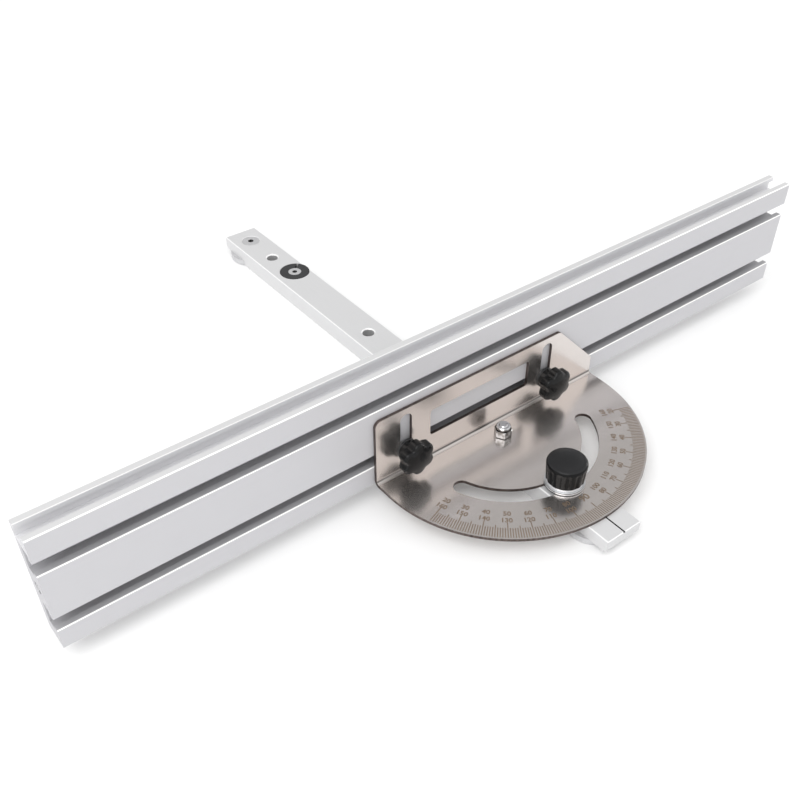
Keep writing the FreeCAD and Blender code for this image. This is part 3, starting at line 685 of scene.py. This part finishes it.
class GAUGE_OT_fence(bpy.types.Operator):
    """Finish the slotted fence: painted highlights on its edges, top and top slot, and painted shade on
    the ledges in the front slots
    """
    bl_idname = "gauge.fence"
    bl_label = "Fence"

    def execute(self, context):
        low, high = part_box("fence_extrusion")
        half = (high[0] - low[0]) / 2 - 0.1 * MM
        slot_half_width, slot_middle, slot_half_depth = 5.3 * MM, 4.0 * MM, 3.6 * MM
        slot_painted_light, top_painted_highlight = (0.9, 0.9, 0.91), (0.72, 0.72, 0.71)
        ledge_painted_shade, edge_white = (0.12, 0.12, 0.125), (0.98, 0.98, 0.96)
        finish = extruded("fence_aluminium", tuple(colours().fence), roughness=0.48, cut_axis=0,
                          middle=0.0, half=half)
        x, y, z = finish.axes()
        front = y < low[1] + 0.5 * MM
        top_slot = (band(y, (low[1] + high[1]) / 2, slot_half_width)
                    * band(z, high[2] - slot_middle, slot_half_depth))
        # Painted light: the inside of the top slot is painted lighter.
        finish.over(top_slot * 0.5, slot_painted_light)
        # Painted highlight: the topmost faces are painted lighter.
        finish.over((z > high[2] - 0.3 * MM) * 0.55, top_painted_highlight)
        ledges = (1 - front) * (z < high[2] - 8 * MM) * finish.level()
        # Painted shade: level ledges inside the front slots are painted darker.
        finish.over(ledges * 0.3, ledge_painted_shade)
        # Painted highlight: the rounded edges on the front are painted near white.
        finish.over(front * (finish.level() > 0.3) * 0.9, edge_white)
        finish.put_on(*node_objects("fence_extrusion"))
        return {"FINISHED"}


class GAUGE_OT_swing_screw(bpy.types.Operator):
    """Make the threaded screw that the plate swings on"""
    bl_idname = "gauge.swing_screw"
    bl_label = "Swing screw"

    def execute(self, context):
        """The radius is that of the turned profile, less a ridge wave. The wave is a triangle in height
        over pitch less turns, so that its crest climbs one pitch in each turn. The socket's radius is
        that of a hexagon: half its width over the cosine of the angle from its nearest flat."""
        size = sizes()
        low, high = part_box("pivot_screw")
        bottom, top = low[2], high[2]
        head = (high[0] - low[0]) / 2
        shank, socket, socket_depth, point = 2.0 * MM, 1.25 * MM, 2.0 * MM, 0.4 * MM
        turns = 48
        angle = np.linspace(0, 2 * np.pi, turns, endpoint=False)[None, :]
        cone_end = bottom + head - shank
        profile = refined([(NEAR_AXIS, bottom + socket_depth), (socket, bottom + socket_depth),
                           (socket, bottom), (head, bottom), (shank, cone_end), (shank, top - point),
                           (shank - point, top), (NEAR_AXIS, top)], size.thread_pitch / 8)
        radius, height = profile[:, :1], profile[:, 1:]
        in_socket = (radius <= socket) & (height <= bottom + socket_depth)
        flat = np.mod(angle + np.pi / 6, np.pi / 3) - np.pi / 6
        radius = np.where(in_socket, radius / np.cos(flat), radius)
        turn = height / size.thread_pitch - angle / (2 * np.pi)
        wave = 2 * np.abs(np.mod(turn, 1) - 0.5)
        on_wall = radius > shank * 0.75
        threaded = (height > cone_end + 0.5 * MM) & on_wall
        radius = np.where(threaded, np.minimum(radius, shank - size.thread_depth * wave), radius)
        points = turned(radius, height, angle)
        finish = plated("screw_steel", tuple(colours().steel), roughness=0.22)
        piece = mesh_object("swing_screw", points, ring_faces(len(profile), turns), finish,
                            "bar", crease=30.0)
        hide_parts("pivot_screw")
        return {"FINISHED"}


class GAUGE_OT_lock_knob(bpy.types.Operator):
    """Make the lock knob: a domed cap over a fluted side"""
    bl_idname = "gauge.lock_knob"
    bl_label = "Lock knob"

    def execute(self, context):
        """The profile runs from the bore's roof down its wall, out over the foot, up the flaring side,
        round the shoulder and over the dome. A flute takes off its depth times the fourth power of the
        cosine of half the number of flutes times the angle, and fades out below the shoulder."""
        flutes, steps_in_flute = 14, 16
        size = sizes()
        low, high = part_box("lock_knob")
        bottom, top = low[2], high[2]
        rim = (high[0] - low[0]) / 2
        centre = np.array([(low[0] + high[0]) / 2, (low[1] + high[1]) / 2, 0])
        bore, bore_depth = 4.5 * MM, 6.2 * MM
        foot, crown, edge = rim - 0.6 * MM, 1.2 * MM, 1.7 * MM
        shoulder = top - crown
        dome_reach = rim - edge
        dome = [(dome_reach * (1 - t), shoulder + crown * (1 - (1 - t) ** 2))
                for t in np.linspace(0, 1, 16)[1:-1]]
        corners = ([(NEAR_AXIS, bottom + bore_depth), (bore, bottom + bore_depth), (bore, bottom),
                    (foot - 0.3 * MM, bottom), (foot, bottom + 0.3 * MM), (rim, shoulder - edge)]
                   + arc((rim - edge, shoulder - edge), edge, 0, 75, 6) + dome + [(NEAR_AXIS, top)])
        profile = refined(corners, KNOB_STEP)
        turns = flutes * steps_in_flute
        angle = np.linspace(0, 2 * np.pi, turns, endpoint=False)[None, :]
        radius, height = profile[:, :1], profile[:, 1:]
        side = (radius > foot - 0.4 * MM) & (height < shoulder)
        fade_start, fade_length = shoulder - 1.5 * MM, 1.6 * MM
        fade = np.clip((fade_start - height) / fade_length, 0, 1)
        flute = np.cos(angle * flutes / 2) ** 4 * size.flute_depth * np.sqrt(fade)
        radius = np.where(side, radius - flute, radius)
        points = turned(radius, height, angle) + centre
        tint = tuple(colours().knob)
        finish = moulded("lock_knob_plastic", tint, roughness=0.2, grain=2600.0, ior=1.22)
        # Painted light: the level top is painted five times as light as the fluted side.
        finish.over(finish.level() > 0.7, scaled(tint, 5))
        piece = mesh_object("lock_knob_cap", points, ring_faces(len(profile), turns), finish,
                            "lock_grip", crease=40.0)
        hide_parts("lock_knob")
        return {"FINISHED"}


class GAUGE_OT_clamp_knobs(bpy.types.Operator):
    """Make the two lobed clamp knobs"""
    bl_idname = "gauge.clamp_knobs"
    bl_label = "Clamp knobs"

    def execute(self, context):
        finish = moulded("clamp_knob_plastic", tuple(colours().knob), roughness=0.2, grain=3000.0,
                         ior=1.3)
        for side in ("left", "right"):
            self.make(side, finish)
        return {"FINISHED"}

    def make(self, side, finish):
        """In the knob's own frame the axis points at the user. The profile runs from the bore's floor
        out over the neck and head. The head's radius is scaled by a lobe wave that is at full
        strength at the rim and fades to nothing at the neck's radius."""
        lobes = 6
        size = sizes()
        low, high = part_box(side + "_clamp_knob")
        back, front = high[1] - 0.02 * MM, low[1]
        reach = back - front
        rim = (high[0] - low[0]) / 2
        centre_x, centre_z = (low[0] + high[0]) / 2, (low[2] + high[2]) / 2
        bore, bore_depth, neck, neck_end = 3.5 * MM, 6.6 * MM, 4.7 * MM, 3.4 * MM
        crown, edge = 1.0 * MM, 1.6 * MM
        dome = [((rim - edge) * (1 - t), reach - crown * (1 - t) ** 2)
                for t in np.linspace(0, 1, 14)[1:-1]]
        corners = ([(NEAR_AXIS, bore_depth), (bore, bore_depth), (bore, 0), (neck, 0), (neck, neck_end),
                    (rim - 0.6 * MM, neck_end), (rim, neck_end + 0.6 * MM)]
                   + arc((rim - edge, reach - crown - edge), edge, 0, 80, 8) + dome
                   + [(NEAR_AXIS, reach)])
        profile = refined(corners, KNOB_STEP)
        turns = 192
        angle = np.linspace(0, 2 * np.pi, turns, endpoint=False)[None, :]
        radius, height = profile[:, :1], profile[:, 1:]
        lobe = 1 - size.lobe_depth / rim * (0.5 + 0.5 * np.cos(lobes * angle)) ** 1.5
        strength = np.clip((radius - neck) / (rim - neck), 0, 1) ** 0.8
        on_head = height >= neck_end - 1e-9
        outer = on_head & (radius > neck)
        radius = np.where(outer, radius * (1 - strength * (1 - lobe)), radius)
        points = turned(radius, height, angle)
        placed = np.stack([centre_x + points[:, 0], back - points[:, 2], centre_z + points[:, 1]],
                          axis=-1)
        piece = mesh_object(side + "_clamp_cap", placed, ring_faces(len(profile), turns), finish,
                            side + "_grip", crease=40.0)
        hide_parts(side + "_clamp_knob")


class GAUGE_OT_stage(bpy.types.Operator):
    """Set up the floor, the light and the camera"""
    bl_idname = "gauge.stage"
    bl_label = "Stage"

    def execute(self, context):
        stage = context.scene.gauge_stage
        self.floor()
        self.world(stage)
        self.lamp("key_light", place=(-0.9, -0.5, 1.3), width=1.2, strength=stage.key)
        self.lamp("side_light", place=(1.4, -0.1, 0.45), width=0.16, strength=stage.side)
        self.camera(stage)
        context.scene.view_settings.view_transform = "Standard"
        return {"FINISHED"}

    def floor(self):
        """A wide pale floor. The light is set so that the open floor renders white."""
        reach, level = 4.0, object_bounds()[0][2] - 0.02 * MM
        points = [(-reach, -reach, level), (reach, -reach, level), (reach, reach, level),
                  (-reach, reach, level)]
        mesh = bpy.data.meshes.new("floor")
        mesh.from_pydata(points, [], [(0, 1, 2, 3)])
        floor = bpy.data.objects.new("floor", mesh)
        bpy.context.scene.collection.objects.link(floor)
        paper = Finish("floor_paper", base_color=(0.85, 0.85, 0.85), roughness=0.9)
        paper.put_on(floor)
        floor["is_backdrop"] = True

    def world(self, stage):
        """Even white light with one wide dark patch, whose middle is where level metal mirrors the
        camera. The patch fades with the cosine of the angle from its middle. The camera itself sees
        plain white."""
        patch_rim, patch_core = 0.78, 0.95  # cosines where the patch begins and where it is darkest
        world = bpy.data.worlds.new("studio")
        world.use_nodes = True
        nodes = Nodes(world.node_tree)
        level, drop = math.cos(stage.tilt), math.sin(stage.tilt)
        middle = (math.sin(stage.heading) * level, math.cos(stage.heading) * level, drop)
        way = nodes.node("ShaderNodeTexCoord", output="Generated")
        close = nodes.node("ShaderNodeVectorMath", {"operation": "DOT_PRODUCT"}, {0: way, 1: middle},
                           output="Value")
        patch = nodes.node("ShaderNodeMapRange", {"interpolation_type": "SMOOTHSTEP"},
                           {"Value": close, "From Min": patch_rim, "From Max": patch_core,
                            "To Min": stage.sky, "To Max": stage.dark_patch})
        seen = nodes.node("ShaderNodeLightPath", output="Is Camera Ray")
        background = world.node_tree.nodes["Background"]
        nodes.join(background.inputs["Color"], (1, 1, 1))
        nodes.join(background.inputs["Strength"], patch * (1 - seen) + seen)
        bpy.context.scene.world = world

    def lamp(self, name, place, width, strength):
        """A square soft light that faces the gauge."""
        light = bpy.data.lights.new(name, "AREA")
        light.shape = "SQUARE"
        light.size = width
        light.energy = strength
        lamp = bpy.data.objects.new(name, light)
        lamp.location = place
        lamp.rotation_euler = (-Vector(place)).to_track_quat("-Z", "Y").to_euler()
        bpy.context.scene.collection.objects.link(lamp)

    def camera(self, stage):
        """The camera's axes follow from its heading, tilt and roll. The shift puts the point where its
        axis meets the frame at the fitted centre."""
        frame_px, sensor = 800.0, 36.0
        heading, tilt = stage.heading, stage.tilt
        forward = Vector((math.sin(heading) * math.cos(tilt), math.cos(heading) * math.cos(tilt),
                          -math.sin(tilt)))
        level = Vector((math.cos(heading), -math.sin(heading), 0))
        upward = level.cross(forward)
        right = level * math.cos(stage.roll) + upward * math.sin(stage.roll)
        up = upward * math.cos(stage.roll) - level * math.sin(stage.roll)
        data = bpy.data.cameras.new("camera")
        data.sensor_width = sensor
        data.lens = stage.focal * sensor / frame_px
        data.shift_x = (frame_px / 2 - stage.centre[0]) / frame_px
        data.shift_y = (stage.centre[1] - frame_px / 2) / frame_px
        data.clip_start, data.clip_end = 0.01, 20.0
        camera = bpy.data.objects.new("camera", data)
        turned_to = Matrix((right, up, -forward)).transposed().to_4x4()
        camera.matrix_world = Matrix.Translation(Vector(stage.place)) @ turned_to
        bpy.context.scene.collection.objects.link(camera)
        bpy.context.scene.camera = camera


OPERATORS = (GAUGE_OT_bar, GAUGE_OT_plate, GAUGE_OT_scale, GAUGE_OT_fence, GAUGE_OT_swing_screw,
             GAUGE_OT_lock_knob, GAUGE_OT_clamp_knobs, GAUGE_OT_stage)


class GAUGE_PT_panel(bpy.types.Panel):
    """Buttons for the pieces, and their sizes and colours"""
    bl_idname = "GAUGE_PT_panel"
    bl_label = "Miter gauge"
    bl_space_type = "VIEW_3D"
    bl_region_type = "UI"
    bl_category = "Miter gauge"

    def draw(self, context):
        column = self.layout.column(align=True)
        for operator in OPERATORS:
            column.operator(operator.bl_idname)
        for holder in GROUPS:
            group = getattr(context.scene, holder)
            box = self.layout.box()
            for name in group.__annotations__:
                box.prop(group, name)


GROUPS = {"gauge_sizes": GaugeSizes, "gauge_colours": GaugeColours, "gauge_stage": GaugeStage}
CLASSES = tuple(GROUPS.values()) + OPERATORS + (GAUGE_PT_panel,)


def register():
    for item in CLASSES:
        bpy.utils.register_class(item)
    for name, group in GROUPS.items():
        setattr(bpy.types.Scene, name, PointerProperty(type=group))


def unregister():
    for name in GROUPS:
        delattr(bpy.types.Scene, name)
    for item in reversed(CLASSES):
        bpy.utils.unregister_class(item)


def main():
    """Make the whole scene."""
    register()
    for operator in OPERATORS:
        group, name = operator.bl_idname.split(".")
        getattr(getattr(bpy.ops, group), name)()


if __name__ == "__main__":
    main()
